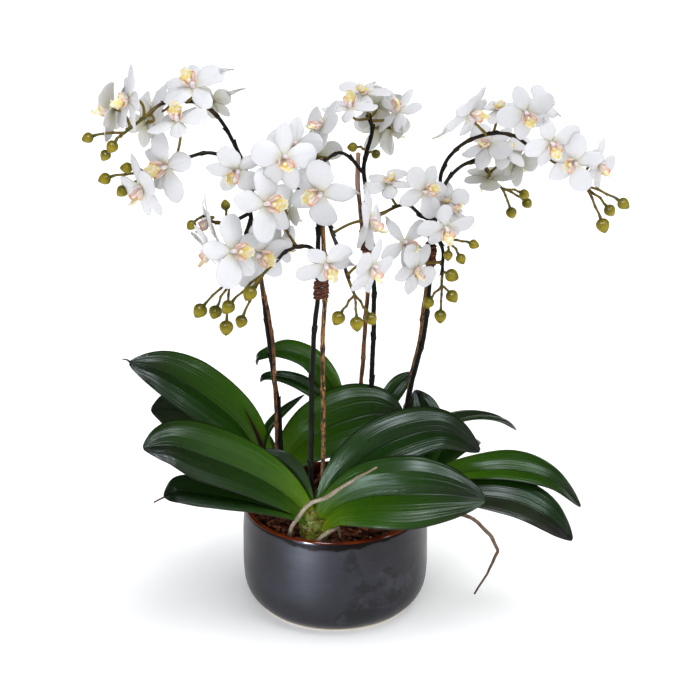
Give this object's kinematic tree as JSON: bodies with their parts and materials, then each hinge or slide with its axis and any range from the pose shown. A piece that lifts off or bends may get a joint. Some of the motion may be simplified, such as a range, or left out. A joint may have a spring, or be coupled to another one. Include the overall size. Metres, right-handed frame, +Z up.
{
  "type": "potted moth orchid",
  "caption": "Moth orchids in a low round glazed pot: strap-leaf rosettes in bark, dark arching branched stems tied to twig stakes, white blooms with striped lips, and buds.",
  "frame": {"origin": "centre of the pot's flat foot, on the surface it stands on", "axes": "+Z up, -Y to the front of the planting, +X to its right"},
  "size_m": [0.4924, 0.292, 0.5702],
  "materials": {
    "pot_glaze": "glossy dark graphite glaze with a rust-brown lip",
    "bark": "rough chopped bark",
    "leaf": "waxy deep green with fine long ribs",
    "aerial_root": "dry grey-beige skin",
    "stem": "satin near-black green, olive towards the tips",
    "bud": "satin olive and yellow-green",
    "twig": "reddish-brown bark with knots and pale specks",
    "raffia": "dry knobbly fibre, reddish brown",
    "petal": "soft white with a faint cool shade",
    "lip": "coral stripes fading to yellow edges"
  },
  "bodies": {
    "root": {"pot": "pot_glaze", "rosette_left": "leaf", "rosette_front": "leaf", "rosette_back": "leaf", "rosette_right": "leaf", "bark": "bark", "root_over_leaf": "aerial_root", "root_loop": "aerial_root", "root_hanging": "aerial_root", "root_left": "aerial_root", "stem_left": "stem", "stake_left": "twig", "tie_left": "raffia", "stem_front": "stem", "stake_front": "twig", "tie_front": "raffia", "stem_back": "stem", "stake_back": "twig", "tie_back": "raffia", "stem_right": "stem", "stake_right": "twig", "tie_right": "raffia", "bloom_left_arch_2": "petal", "bloom_left_arch_4": "petal", "bloom_left_arch_5": "petal", "bloom_left_arch_1": "petal", "bloom_left_reach_2": "petal", "bloom_left_side_1": "petal", "bloom_left_low_2": "petal", "bloom_front_1": "petal", "bloom_front_2": "petal", "bloom_front_4": "petal", "bloom_front_right_1": "petal", "bloom_front_right_2": "petal", "bloom_front_right_3": "petal", "bloom_front_left_1": "petal", "bloom_front_left_2": "petal", "bloom_front_left_3": "petal", "bloom_back_4": "petal", "bloom_back_1": "petal", "bloom_back_left_1": "petal", "bloom_back_left_2": "petal", "bloom_back_left_3": "petal", "bloom_right_1": "petal", "bloom_right_3": "petal", "bloom_right_arch_1": "petal", "bloom_right_arch_2": "petal", "bloom_right_arch_3": "petal", "bloom_right_arch_4": "petal", "bloom_right_arch_5": "petal", "bloom_right_arch_7": "petal", "bloom_right_reach_1": "petal", "bloom_right_reach_2": "petal", "bloom_right_twig_1": "petal", "bloom_right_twig_2": "petal", "bloom_right_inner_1": "petal", "bloom_right_inner_2": "petal", "bloom_right_spur_1": "petal"}
  },
  "joints": []
}
